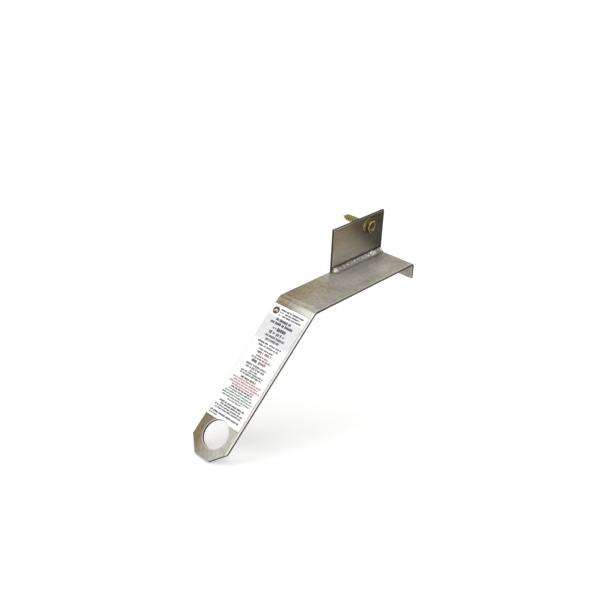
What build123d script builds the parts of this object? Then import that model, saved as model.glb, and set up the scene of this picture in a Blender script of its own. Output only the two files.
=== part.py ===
"""Wall-plate anchor bracket, made of bent and welded flat bar.

Frame: X runs along the wall, Y from the outside of the wall to the inside, Z up.
The origin is the middle of the seat: the underside of the base, halfway between
the outside fold and the back of the lip, in the middle of the bar's width.
"""
from build123d import *
from math import cos, radians, sin, tan
import os

os.makedirs("parts", exist_ok=True)

# ---- Driving dimensions, in millimetres and degrees ----

# Flat bar that the strap is bent from
bar_width = 50.8
bar_thickness = 3.175
bar_corner_radius = 0.8

# Strap: a lip behind, a level base and a leg that slopes down outside the wall
base_length = 166.7          # outside fold line to the back of the lip
leg_length = 182.6           # outside fold line to the end of the leg
leg_slope = 43.0             # below the horizontal
lip_drop = 19.0              # top of the base to the end of the lip
front_bend_inside_radius = 3.2
back_bend_inside_radius = 1.6
end_corner_cut = 15.3        # each corner of the leg's end, along both edges
eye_radius = 15.2
eye_edge_distance = 26.4     # middle of the eye to the end of the leg

# Upright plate, on the base's left edge
plate_thickness = 3.175
plate_height = 50.8
plate_length = 86.5
plate_back_inset = 1.5       # back of the lip to the plate's back end
screw_from_back = 28.9       # screw hole to the plate's back end
screw_from_top = 10.9        # screw hole to the plate's top edge

# Fillet weld along the plate's right foot
weld_height = 5.4
weld_width = 5.8
weld_crown = 0.7             # how far the bead's face stands out from straight

# Printed vinyl label on the leg's outer face
label_thickness = 0.15
label_width = 47.2
label_length = 133.3
label_left_margin = 0.8      # from the bar's left edge
label_top_gap = 9.2          # outside fold line to the label
label_corner_radius = 0.6

# Hex-head screw and its flat washer
screw_diameter = 7.9
screw_root_diameter = 5.9
screw_length = 38.1          # under the head
screw_neck_length = 7.0      # plain shank under the head
screw_point_length = 7.0
thread_pitch = 2.82
head_width = 12.7            # across the flats
head_height = 5.4
head_chamfer = 0.9
dish_radius = 4.2
dish_depth = 1.3
washer_radius = 8.73
washer_thickness = 1.65

# Clearances
screw_hole_clearance = 0.4   # radial, shank in the plate and in the washer
face_clearance = 0.05        # plate to washer, and washer to head
label_eye_clearance = 0.4    # label's trimmed edge to the edge of the eye

# ---- Places worked out from them ----

front_fold_y = -base_length / 2
lip_back_y = base_length / 2
bar_left_x = -bar_width / 2
base_top_z = bar_thickness
half_bar = bar_thickness / 2

leg_plane = Plane(
    origin=(0, front_fold_y, base_top_z),
    x_dir=(1, 0, 0),
    z_dir=(0, -sin(radians(leg_slope)), cos(radians(leg_slope))),
)
fold_shift = half_bar * tan(radians(leg_slope / 2))
front_fold = (front_fold_y + fold_shift, half_bar)
leg_end = (
    front_fold[0] - (leg_length - fold_shift) * cos(radians(leg_slope)),
    front_fold[1] - (leg_length - fold_shift) * sin(radians(leg_slope)),
)
back_fold = (lip_back_y - half_bar, half_bar)
lip_end = (lip_back_y - half_bar, base_top_z - lip_drop)
eye_y = eye_edge_distance - leg_length

plate_right_x = bar_left_x + plate_thickness
plate_back_y = lip_back_y - plate_back_inset
plate_front_y = plate_back_y - plate_length
plate_top_z = base_top_z + plate_height
screw_y = plate_back_y - screw_from_back
screw_z = plate_top_z - screw_from_top
screw_hole_radius = screw_diameter / 2 + screw_hole_clearance
washer_left_x = plate_right_x + face_clearance
head_left_x = washer_left_x + washer_thickness + face_clearance
screw_axis = Axis((0, screw_y, screw_z), (1, 0, 0))

# ---- Strap ----

with BuildPart() as strap:
    with BuildLine(Plane.YZ):
        bar_middle = FilletPolyline(
            leg_end,
            front_fold,
            back_fold,
            lip_end,
            radius=[front_bend_inside_radius + half_bar, back_bend_inside_radius + half_bar],
        )
    with BuildSketch(Plane(origin=bar_middle @ 0, x_dir=(1, 0, 0), z_dir=bar_middle % 0)):
        RectangleRounded(bar_width, bar_thickness, bar_corner_radius)
    sweep()
    with BuildSketch(leg_plane):
        for side in (-1, 1):
            with BuildLine():
                Polyline(
                    (side * bar_width / 2, -leg_length),
                    (side * (bar_width / 2 - end_corner_cut), -leg_length),
                    (side * bar_width / 2, end_corner_cut - leg_length),
                    close=True,
                )
            make_face()
        with Locations((0, eye_y)):
            Circle(eye_radius)
    extrude(amount=2 * bar_thickness, both=True, mode=Mode.SUBTRACT)

strap.part.label = "strap"
export_step(strap.part, "parts/strap.step")

# ---- Upright plate ----

with BuildPart() as upright_plate:
    with BuildSketch(Plane.YZ.offset(bar_left_x)):
        with Locations((plate_front_y, base_top_z)):
            Rectangle(plate_length, plate_height, align=(Align.MIN, Align.MIN))
        with Locations((screw_y, screw_z)):
            Circle(screw_hole_radius, mode=Mode.SUBTRACT)
    extrude(amount=plate_thickness)
    top_edges = upright_plate.edges().filter_by(Axis.Y).group_by(Axis.Z)[-1]
    fillet(top_edges, radius=bar_corner_radius)

upright_plate.part.label = "upright_plate"
export_step(upright_plate.part, "parts/upright_plate.step")

# ---- Weld bead ----

with BuildPart() as weld_bead:
    with BuildSketch(Plane.XZ.offset(-plate_back_y)):
        with BuildLine():
            root = (plate_right_x, base_top_z)
            upper_toe = (plate_right_x, base_top_z + weld_height)
            lower_toe = (plate_right_x + weld_width, base_top_z)
            crown = (
                plate_right_x + weld_width / 2 + weld_crown * sin(radians(45)),
                base_top_z + weld_height / 2 + weld_crown * cos(radians(45)),
            )
            Line(lower_toe, root)
            Line(root, upper_toe)
            ThreePointArc(upper_toe, crown, lower_toe)
        make_face()
    extrude(amount=plate_length)

weld_bead.part.label = "weld_bead"
export_step(weld_bead.part, "parts/weld_bead.step")

# ---- Label ----

label_middle = (
    bar_left_x + label_left_margin + label_width / 2,
    -label_top_gap - label_length / 2,
)

with BuildPart() as label:
    with BuildSketch(leg_plane):
        with Locations(label_middle):
            RectangleRounded(label_width, label_length, label_corner_radius)
        with Locations((0, eye_y)):
            Circle(eye_radius + label_eye_clearance, mode=Mode.SUBTRACT)
    extrude(amount=label_thickness)

label.part.label = "label"
export_step(label.part, "parts/label.step")

# ---- Washer ----

with BuildPart() as washer:
    with BuildSketch(Plane.YZ.offset(washer_left_x)):
        with Locations((screw_y, screw_z)):
            Circle(washer_radius)
            Circle(screw_hole_radius, mode=Mode.SUBTRACT)
    extrude(amount=washer_thickness)

washer.part.label = "washer"
export_step(washer.part, "parts/washer.step")

# ---- Screw: hex head with a dished top, and a threaded shank that points along -X ----

head_top_x = head_left_x + head_height
shank_radius = screw_diameter / 2
root_radius = screw_root_diameter / 2
thread_start_x = head_left_x - screw_neck_length
thread_end_x = head_left_x - screw_length + screw_point_length
thread_turns = int((thread_start_x - thread_end_x) / thread_pitch)

with BuildPart() as screw:
    with BuildSketch(Plane.XY.offset(screw_z)):
        with BuildLine():
            shank = [
                (head_left_x + head_height / 2, screw_y),
                (head_left_x + head_height / 2, screw_y + shank_radius),
                (thread_start_x, screw_y + shank_radius),
            ]
            for turn in range(thread_turns):
                ridge_x = thread_start_x - turn * thread_pitch
                shank.append((ridge_x - 0.30 * thread_pitch, screw_y + root_radius))
                shank.append((ridge_x - 0.70 * thread_pitch, screw_y + root_radius))
                shank.append((ridge_x - thread_pitch, screw_y + shank_radius))
            shank.append((thread_end_x - 0.5 * thread_pitch, screw_y + root_radius))
            shank.append((head_left_x - screw_length, screw_y))
            Polyline(*shank, close=True)
        make_face()
    revolve(axis=screw_axis)
    with BuildSketch(Plane.YZ.offset(head_left_x)):
        with Locations((screw_y, screw_z)):
            RegularPolygon(radius=head_width / 2, side_count=6, major_radius=False)
    extrude(amount=head_height)
    with BuildSketch(Plane.XY.offset(screw_z)):
        with BuildLine():
            flat_radius = head_width / 2
            Polyline(
                (head_top_x, screw_y + flat_radius - head_chamfer / 4),
                (head_top_x, screw_y + head_width),
                (head_top_x - head_chamfer, screw_y + head_width),
                (head_top_x - head_chamfer, screw_y + flat_radius + head_chamfer),
                close=True,
            )
        make_face()
    revolve(axis=screw_axis, mode=Mode.SUBTRACT)
    with BuildSketch(Plane.XY.offset(screw_z)):
        with BuildLine():
            dish_rim = (head_top_x, screw_y + dish_radius)
            dish_bottom = (head_top_x - dish_depth, screw_y)
            TangentArc(dish_bottom, dish_rim, tangent=(0, 1))
            Polyline(dish_rim, (head_top_x, screw_y), dish_bottom)
        make_face()
    revolve(axis=screw_axis, mode=Mode.SUBTRACT)

screw.part.label = "screw"
export_step(screw.part, "parts/screw.step")
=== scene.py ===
"""Looks of the wall-plate anchor bracket: meshes, finishes, light and camera.

The frame is the part's own: X along the wall, Y from outside to inside, Z up, and
the origin in the middle of the seat. Everything is in metres.
"""

import logging
import math
import random
from dataclasses import dataclass, field
from enum import Enum
from typing import Any, Callable, Iterable, Sequence

import bmesh
import bpy
from mathutils import Matrix, Vector, noise


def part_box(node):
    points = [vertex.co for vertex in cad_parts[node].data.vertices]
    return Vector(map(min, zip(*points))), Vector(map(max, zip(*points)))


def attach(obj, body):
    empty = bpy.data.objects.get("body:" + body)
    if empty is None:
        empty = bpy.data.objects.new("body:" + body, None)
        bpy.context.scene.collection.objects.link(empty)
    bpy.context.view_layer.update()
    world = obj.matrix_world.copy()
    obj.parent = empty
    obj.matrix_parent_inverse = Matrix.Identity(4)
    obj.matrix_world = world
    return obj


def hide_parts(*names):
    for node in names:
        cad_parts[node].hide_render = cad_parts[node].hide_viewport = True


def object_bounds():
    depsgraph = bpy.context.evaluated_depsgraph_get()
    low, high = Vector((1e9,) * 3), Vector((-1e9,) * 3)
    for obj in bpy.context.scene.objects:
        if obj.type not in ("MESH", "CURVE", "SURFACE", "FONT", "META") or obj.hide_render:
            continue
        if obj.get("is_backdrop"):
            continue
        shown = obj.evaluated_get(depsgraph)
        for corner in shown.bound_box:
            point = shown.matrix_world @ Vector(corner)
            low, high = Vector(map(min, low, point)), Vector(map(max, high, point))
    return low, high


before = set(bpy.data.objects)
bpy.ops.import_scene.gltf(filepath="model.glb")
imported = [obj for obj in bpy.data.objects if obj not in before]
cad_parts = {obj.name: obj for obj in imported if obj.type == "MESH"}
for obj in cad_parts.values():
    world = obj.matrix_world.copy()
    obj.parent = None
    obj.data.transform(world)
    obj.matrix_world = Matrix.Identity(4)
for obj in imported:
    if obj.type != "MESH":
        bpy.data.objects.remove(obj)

MM = 0.001
PLACE = "place"
EVEN = (1.0, 1.0, 1.0)
Colour = tuple[float, float, float]
Station = tuple[float, float]
log = logging.getLogger("anchor_bracket")


# ---------------------------------------------------------------- shader tools


class Flow:
    """A shader socket that adds, subtracts and multiplies like a number."""

    def __init__(self, graph: "Graph", socket: bpy.types.NodeSocket | None) -> None:
        """Keeps the socket with the graph that it belongs to."""
        self.graph = graph
        self.socket = socket

    def _with(self, operation: str, first: Any, second: Any) -> "Flow":
        """Adds a Math node on two values."""
        settings = {"operation": operation}
        return self.graph.node("ShaderNodeMath", settings, {0: first, 1: second})

    def __add__(self, other: Any) -> "Flow":
        """Sum."""
        return self._with("ADD", self, other)

    def __radd__(self, other: Any) -> "Flow":
        """Sum with a number on the left."""
        return self._with("ADD", other, self)

    def __sub__(self, other: Any) -> "Flow":
        """Difference."""
        return self._with("SUBTRACT", self, other)

    def __rsub__(self, other: Any) -> "Flow":
        """Difference with a number on the left."""
        return self._with("SUBTRACT", other, self)

    def __mul__(self, other: Any) -> "Flow":
        """Product."""
        return self._with("MULTIPLY", self, other)

    def __rmul__(self, other: Any) -> "Flow":
        """Product with a number on the left."""
        return self._with("MULTIPLY", other, self)

    def __pow__(self, other: Any) -> "Flow":
        """Power."""
        return self._with("POWER", self, other)

    def __rpow__(self, other: Any) -> "Flow":
        """Power of a number on the left."""
        return self._with("POWER", other, self)

    def __abs__(self) -> "Flow":
        """Size without sign."""
        return self._with("ABSOLUTE", self, 0.0)

    def step(self, low: float, high: float) -> "Flow":
        """Rises smoothly from 0 at low to 1 at high, and falls if low is the larger.

        Args:
            low: Where the rise starts.
            high: Where it is full.

        Returns:
            The rise.
        """
        settings = {"interpolation_type": "SMOOTHSTEP"}
        values = {"Value": self, "From Min": low, "From Max": high}
        return self.graph.node("ShaderNodeMapRange", settings, values)


class Graph:
    """The nodes of one material."""

    def __init__(self, name: str) -> None:
        """Starts a material with an empty node tree.

        Args:
            name: The material's name.
        """
        self.material = bpy.data.materials.new(name)
        self.material.use_nodes = True
        self.tree = self.material.node_tree
        self.tree.nodes.clear()

    def node(
        self,
        kind: str,
        settings: dict[str, Any] | None = None,
        values: dict[str | int, Any] | None = None,
        output: str | int = 0,
    ) -> Flow:
        """Adds a node.

        Args:
            kind: The node's type.
            settings: Its properties, set before its sockets.
            values: Its sockets by name or number, each a number, a colour or a Flow.
            output: The socket to carry on from, if the node has any.

        Returns:
            That output socket.
        """
        made = self.tree.nodes.new(kind)
        for key, value in (settings or {}).items():
            setattr(made, key, value)
        for key, value in (values or {}).items():
            if isinstance(value, Flow):
                self.tree.links.new(value.socket, made.inputs[key])
            else:
                made.inputs[key].default_value = value
        return Flow(self, made.outputs[output] if made.outputs else None)

    def noise(self, where: Flow, scale: float, detail: float = 3.0, rough: float = 0.55) -> Flow:
        """Adds a noise, from 0 to 1, at a scale per unit of the place."""
        values = {"Vector": where, "Scale": scale, "Detail": detail, "Roughness": rough}
        return self.node("ShaderNodeTexNoise", None, values)

    def mix(self, factor: Any, first: Any, second: Any, blend: str = "MIX") -> Flow:
        """Mixes two colours.

        Args:
            factor: The second colour's share.
            first: A colour or a Flow.
            second: Another.
            blend: How the second one is laid on.

        Returns:
            The mixed colour.
        """
        settings = {"data_type": "RGBA", "blend_type": blend}
        values = {0: factor, 6: self._colour(first), 7: self._colour(second)}
        return self.node("ShaderNodeMix", settings, values, 2)

    @staticmethod
    def _colour(value: Any) -> Any:
        """Gives a colour its alpha, and leaves a Flow alone."""
        return value if isinstance(value, Flow) else (*value, 1.0)

    def bump(self, height: Flow, depth: float) -> Flow:
        """Turns a height from 0 to 1 into a normal, for a relief of that depth."""
        values = {"Height": height, "Distance": depth, "Strength": 1.0}
        return self.node("ShaderNodeBump", None, values)

    def close(self, shader: Flow) -> bpy.types.Material:
        """Joins a shader to the material's output, and gives the finished material."""
        self.node("ShaderNodeOutputMaterial", None, {"Surface": shader})
        return self.material

    def surface(self, values: dict[str | int, Any]) -> bpy.types.Material:
        """Closes the material with a Principled shader of those sockets."""
        return self.close(self.node("ShaderNodeBsdfPrincipled", None, values))


class Coat(Graph):
    """A finish on a piece: a colour built up in layers, and smoothness that goes with it.

    The place is each point's own on its piece, in millimetres: across, along, depth.
    """

    def __init__(self, name: str) -> None:
        """Reads the place that the mesh carries.

        Args:
            name: The material's name.
        """
        super().__init__(name)
        settings = {"attribute_type": "GEOMETRY", "attribute_name": PLACE}
        raw = self.node("ShaderNodeAttribute", settings, None, "Vector")
        values = {"Vector": raw, "Scale": 1.0 / MM}
        self.place = self.node("ShaderNodeVectorMath", {"operation": "SCALE"}, values)
        parts = self.node("ShaderNodeSeparateXYZ", None, {0: self.place})
        self.across, self.along, self.depth = (
            Flow(self, part) for part in parts.socket.node.outputs
        )
        self.colour: Any = EVEN

    def grain(
        self, scale: float, detail: float = 3.0, rough: float = 0.55, stretch: Colour = EVEN
    ) -> Flow:
        """Adds a noise of the place.

        Args:
            scale: Its scale per millimetre.
            detail: How many finer noises it holds.
            rough: How strong those are.
            stretch: Factors on the place; the noise is drawn out where one is under 1.

        Returns:
            The noise, from 0 to 1.
        """
        settings = {"operation": "MULTIPLY"}
        where = self.node("ShaderNodeVectorMath", settings, {0: self.place, 1: stretch})
        return self.noise(where, scale, detail, rough)

    def lay(self, share: Any, colour: Any, blend: str = "MIX") -> None:
        """Lays another colour over the one so far."""
        self.colour = self.mix(share, self.colour, colour, blend)

    def window(self, low: float, high: float, fade: float = 1.0) -> Flow:
        """1 from low to high along the piece, and 0 beyond a fade on either side."""
        return self.along.step(low - fade, low + fade) * self.along.step(high + fade, high - fade)


# ---------------------------------------------------------------- finishes


@dataclass(frozen=True)
class Streak:
    """A line across the bar that a press left, where the metal is lighter or darker.

    Its place along is measured from the fold, in millimetres.
    """

    along: float
    half_width: float
    light: float


@dataclass(frozen=True)
class PaintedLight:
    """A patch of painted light that deepens along one or more slopes: painted shade and painted
    reflection of timber where it darkens, painted highlight where it lightens.

    Each slope is where the patch starts and where it is full: one across the bar, which
    a lean turns towards the place along, and others along it from the fold. Millimetres.
    """

    colour: Colour
    strength: float
    across: Station | None = None
    along: tuple[Station, ...] = ()
    lean: float = 0.0
    blend: str = "MULTIPLY"

    def over(self, coat: Coat, uneven: Flow, fold: float) -> None:
        """Lays the patch on a coat.

        Args:
            coat: The finish under way.
            uneven: A noise that thins and thickens the patch.
            fold: The fold's place along the bar.
        """
        mask = self.strength * (0.75 + 0.5 * uneven)
        drift = 6.0 * (uneven - 0.5)
        slopes = [(coat.along - fold, slope) for slope in self.along]
        if self.across:
            slopes.append((coat.across + coat.along * self.lean, self.across))
        for measure, (first, full) in slopes:
            mask = mask * (measure + drift).step(first, full)
        # Painted light: the patch darkens or lightens the colour so far.
        coat.lay(mask, self.colour, self.blend)


class BarCoat(Coat):
    """A bar's finish under way, with the noises that its layers share."""

    def __init__(self, name: str, thickness: float, rounding: float) -> None:
        """Adds the shared noises.

        Args:
            name: The material's name.
            thickness: The bar's thickness.
            rounding: How deep the face's rounded edge goes.
        """
        super().__init__(name)
        self.lines = self.grain(3.2, 2.0, stretch=(1.0, 0.02, 1.0))
        self.bands = self.grain(0.35, 2.0, stretch=(1.0, 0.03, 1.0))
        self.cloud = self.grain(0.085, 4.0, 0.6, (1.0, 0.6, 1.0))
        self.grit = self.grain(1.5, 4.0, 0.7)
        self.pits = self.grain(0.9, 2.0).step(0.70, 0.78)
        back = self.depth.step(thickness - rounding, thickness - 0.5)
        self.sides = self.depth.step(rounding, 0.5) * back


@dataclass(frozen=True)
class BarSteel:
    """Bare hot-rolled bar, faintly lined along its length. Places are in millimetres.

    Streaks, the patches of painted light and the pressed stretch are measured from the fold. The rim
    is the right edge of the face, with a painted highlight up to rim_end and a weaker one beyond,
    where the sides also turn from scale to a painted reflection of timber.
    """

    name: str
    half_width: float
    thickness: float
    fold: float = 0.0
    streaks: tuple[Streak, ...] = ()
    painted_light: tuple[PaintedLight, ...] = ()
    pressed: Station = (0.0, 0.0)
    hole: tuple[float, float, float] = (0.0, 0.0, 0.0)
    weld_across: float = 0.0
    weld_along: Station = (0.0, 0.0)
    weld_toe_shade: float = 0.20
    rim_highlight: float = 1.0
    rim_end: float = 1000.0
    left_shade: float = 0.0
    mill_scale: float = 0.40
    mottle: float = 0.34
    edge_rounding: float = 0.12
    dark: Colour = (0.325, 0.314, 0.284)
    light: Colour = (0.665, 0.656, 0.628)
    scale: Colour = (0.042, 0.039, 0.035)
    flank_reflection: Colour = (0.042, 0.039, 0.035)
    bright: Colour = (0.92, 0.915, 0.90)
    skin: Colour = (0.17, 0.160, 0.145)
    cast: Colour = (0.90, 0.925, 0.94)
    straw: Colour = (0.30, 0.215, 0.120)
    blue: Colour = (0.15, 0.165, 0.205)

    def material(self) -> bpy.types.Material:
        """Builds the finish.

        Returns:
            The material.
        """
        coat = BarCoat(self.name, self.thickness, self.edge_rounding)
        self._ground(coat)
        coat.lay(coat.pits * 0.35, self.scale)
        under = coat.depth.step(0.75 * self.thickness, 0.95 * self.thickness)
        coat.lay(under * self.mill_scale * (0.7 + 0.6 * coat.cloud), self.skin)
        # Patches of painted light: painted shade and painted reflection of timber where they darken,
        # painted highlight where they lighten.
        for light_patch in self.painted_light:
            light_patch.over(coat, coat.cloud, self.fold)
        shine = self._edges(coat) * 0.5 + self._press_lines(coat)
        if self.hole[2]:
            shine = shine + self._hole_rim(coat)
        if self.weld_along[1] > self.weld_along[0]:
            self._heat(coat)

        rough = 0.36 + 0.14 * coat.cloud + 0.10 * coat.grit + 0.22 * coat.sides - 0.12 * shine
        relief = 0.5 * coat.lines + 0.35 * coat.grit + 0.15 * (1.0 - coat.pits)
        return coat.surface({
            "Base Color": coat.colour,
            "Metallic": 0.94,
            "Roughness": rough,
            "Normal": coat.bump(relief, 0.035 * MM),
        })

    def _ground(self, coat: BarCoat) -> None:
        """Lays the plain bar: drawn lines and bands, cloudy smudges, grit and a cool cast.

        Args:
            coat: The finish under way.
        """
        smudge = coat.grain(0.34, 4.0, 0.6, (1.0, 0.65, 1.0))
        tone = coat.cloud.step(0.28, 0.72) * 0.28 + coat.bands.step(0.3, 0.7) * 0.09
        tone = tone + smudge.step(0.37, 0.63) * self.mottle + (0.17 - 0.5 * self.mottle)
        tone = tone + coat.lines.step(0.32, 0.68) * 0.11 + coat.grit.step(0.3, 0.7) * 0.22
        coat.colour = coat.mix(tone, self.dark, self.light)
        cool = coat.grain(0.16, 3.0, 0.6, (1.0, 0.7, 1.0))
        coat.lay(cool.step(0.42, 0.68) * 0.6, self.cast, "MULTIPLY")

    def _edges(self, coat: BarCoat) -> Flow:
        """Darkens the sides with scale, or past rim_end with a painted reflection of timber, paints
        shade along the left edge and paints a highlight along the right edge.

        Args:
            coat: The finish under way.

        Returns:
            How far each point has the painted highlight.
        """
        # Past rim_end the sides take a painted reflection of the timber under the base.
        past_end = coat.along.step(self.rim_end - 2.0, self.rim_end + 25.0)
        side = coat.mix(past_end, self.scale, self.flank_reflection)
        coat.lay(coat.sides * (0.90 + 0.1 * coat.grit), side)
        # Painted shade: a dark line along the left edge.
        left = (coat.across + self.half_width).step(1.1, 0.4)
        coat.lay(left * self.left_shade, self.scale)
        # Painted highlight along the right edge, weaker past rim_end.
        rim = coat.across.step(self.half_width - 2.4, self.half_width - 0.9) * self.rim_highlight
        rim = rim * (0.25 + 0.75 * coat.along.step(self.rim_end + 3.0, self.rim_end - 5.0))
        worn = rim * (1.0 - coat.sides) * (0.55 + 0.45 * coat.bands)
        coat.lay(worn * 0.85, self.bright)
        return worn

    def _press_lines(self, coat: BarCoat) -> Any:
        """Draws the die's streaks across the bar, and its rubbing in the pressed stretch.

        Args:
            coat: The finish under way.

        Returns:
            How far each point is smoothed.
        """
        shine: Any = 0.0
        for streak in self.streaks:
            away = abs(coat.along - (self.fold + streak.along) + 0.5 * coat.cloud)
            line = away.step(streak.half_width, 0.0) * (1.0 - coat.sides)
            line = line * coat.grit.step(0.25, 0.6)
            coat.lay(line * abs(streak.light), self.bright if streak.light > 0 else self.scale)
            shine = shine + line * max(streak.light, 0.0) * 0.5
        if self.pressed[1] > self.pressed[0]:
            rubs = coat.grain(0.60, 4.0, 0.7, (0.03, 1.0, 1.0))
            window = coat.window(self.fold + self.pressed[0], self.fold + self.pressed[1])
            coat.lay(rubs.step(0.53, 0.66) * window * 0.40, self.bright)
            coat.lay(rubs.step(0.46, 0.34) * window * 0.26, self.scale)
        return shine

    def _hole_rim(self, coat: BarCoat) -> Flow:
        """Paints a highlight on the punched hole's rolled-over rim, and paints shade in its bore.

        Args:
            coat: The finish under way.

        Returns:
            How far each point is smoothed.
        """
        x, y, radius = self.hole
        away = ((coat.across - x) ** 2.0 + (coat.along - y) ** 2.0) ** 0.5 - radius
        # Painted highlight on the rim, and painted shade in the bore.
        lip = away.step(1.3, 0.5)
        coat.lay(lip * 0.45, self.bright)
        coat.lay(away.step(0.12, 0.02) * 0.97, self.scale)
        return lip * 0.35

    def _heat(self, coat: BarCoat) -> None:
        """Tints the metal beside the weld, with painted shade on the face close to it, along the toe.

        Args:
            coat: The finish under way.
        """
        start, end = self.weld_along
        window = coat.window(start - 2.0, end + 2.0, 3.0)
        away = coat.across - self.weld_across + 3.0 * (coat.cloud - 0.5)
        face = coat.depth.step(0.5 * self.thickness, 0.0)
        coat.lay(away.step(9.0, 1.0) * window * 0.20, self.straw)
        coat.lay(away.step(13.0, 8.0) * away.step(4.0, 8.0) * window * 0.16, self.blue)
        # Painted shade: a dark line on the face along the weld's toe.
        coat.lay(away.step(2.0, 0.4) * window * face * self.weld_toe_shade, self.scale)


@dataclass(frozen=True)
class WeldSteel:
    """Rippled weld metal with painted highlights on its crests and glints, painted shade in its
    valleys, and fused smooth at its toe.
    """

    name: str
    toe: Station = (100.0, 101.0)
    # crest is the painted highlight colour, and the valleys' colour is painted shade.
    crest: Colour = (0.84, 0.825, 0.785)
    valley_shade: Colour = (0.125, 0.111, 0.088)
    fused: Colour = (0.29, 0.27, 0.225)

    def material(self) -> bpy.types.Material:
        """Builds the finish. The place's depth is the painted brightness: 1 on crests and 0 in
        valleys.

        Returns:
            The material.
        """
        coat = Coat(self.name)
        flat = (1.0, 1.0, 0.0)
        grit = coat.grain(1.6, 4.0, 0.65, flat)
        painted_glints = coat.grain(0.42, 3.0, 0.6, flat)
        # Painted light: crests and glints get painted highlights, valleys painted shade.
        top = coat.depth.step(0.35, 0.85)
        tone = top * (0.22 + 0.78 * painted_glints.step(0.41, 0.57)) + 0.14 * grit
        coat.colour = coat.mix(tone, self.valley_shade, self.crest)
        coat.lay(coat.across.step(*self.toe) * (1.0 - top) * 0.8, self.fused)
        return coat.surface({
            "Base Color": coat.colour,
            "Metallic": 0.96,
            "Roughness": 0.36 - 0.18 * top + 0.10 * grit,
            "Normal": coat.bump(grit, 0.04 * MM),
        })


@dataclass(frozen=True)
class Plating:
    """A plated fastener finish.

    The main colour has a tint in patches. Edges get a painted highlight, dull places painted shade,
    hollows painted shade of their own colour, and the lower left a painted highlight.
    """

    name: str
    main: Colour
    tint: Colour
    worn: Colour
    hollow_shade: Colour
    shade: Colour
    rough: float
    lower_left_highlight: float = 0.0

    def material(self) -> bpy.types.Material:
        """Builds the finish. The place's depth is the painted light level: 1 on edges and 0 in
        hollows.

        Returns:
            The material.
        """
        coat = Coat(self.name)
        flat = (1.0, 1.0, 0.0)
        patch = coat.grain(0.30, 3.0, stretch=flat).step(0.35, 0.65)
        grit = coat.grain(1.8, 4.0, 0.7, flat)
        # Painted light: highlights on edges and at the lower left, painted shade on dull places and
        # in hollows.
        edge = coat.depth.step(0.80, 1.0) * (0.4 + 0.6 * grit)
        coat.colour = coat.mix(patch * 0.6, self.main, self.tint)
        coat.lay(edge * 0.7, self.worn)
        coat.lay(coat.depth.step(0.74, 0.58) * 0.80, self.shade)
        coat.lay(coat.depth.step(0.35, 0.0) * 0.8, self.hollow_shade)
        side = coat.across.step(-4.5, -8.0) * coat.along.step(4.0, -1.0)
        coat.lay(side * self.lower_left_highlight, self.worn)
        return coat.surface({
            "Base Color": coat.colour,
            "Metallic": 0.93,
            "Roughness": self.rough + 0.14 * grit - 0.08 * edge,
            "Normal": coat.bump(grit, 0.02 * MM),
        })


@dataclass(frozen=True)
class Vinyl:
    """Printed white vinyl, with a tinted panel across it and a little handling dirt."""

    name: str
    panel: Station
    white: Colour = (0.90, 0.90, 0.905)
    tint: Colour = (0.70, 0.695, 0.72)
    dirt: Colour = (0.62, 0.58, 0.50)

    def material(self) -> bpy.types.Material:
        """Builds the finish.

        Returns:
            The material.
        """
        coat = Coat(self.name)
        smear = coat.grain(0.12, 4.0, 0.6, (1.0, 0.4, 1.0))
        grain = coat.grain(2.6, 2.0)
        coat.colour = coat.mix(coat.window(*self.panel, 0.15), self.white, self.tint)
        coat.lay(smear.step(0.55, 0.85) * 0.10, self.dirt)
        return coat.surface({
            "Base Color": coat.colour,
            "Roughness": 0.42 + 0.12 * smear + 0.06 * grain,
            "Normal": coat.bump(0.6 * smear + 0.4 * grain, 0.02 * MM),
            "Coat Weight": 0.12,
        })


class Ink(Enum):
    """The inks on the label."""

    BLACK = (0.030, 0.030, 0.034)
    GREY = (0.038, 0.039, 0.047)
    RED = (0.300, 0.028, 0.040)
    MAROON = (0.120, 0.010, 0.024)
    GREEN = (0.025, 0.090, 0.050)
    TEAL = (0.080, 0.200, 0.230)
    WHITE = (0.850, 0.850, 0.860)

    def material(self) -> bpy.types.Material:
        """Builds the ink's finish, a little uneven where it took less well.

        Returns:
            The material.
        """
        coat = Coat(f"ink_{self.name.lower()}")
        patchy = coat.grain(1.4, 3.0, 0.6)
        thin = tuple(min(1.0, 1.5 * part + 0.05) for part in self.value)
        return coat.surface({
            "Base Color": coat.mix(patchy.step(0.35, 0.8) * 0.5, self.value, thin),
            "Roughness": 0.40 + 0.15 * patchy,
            "Normal": coat.bump(patchy, 0.006 * MM),
        })


# ---------------------------------------------------------------- mesh tools


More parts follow.
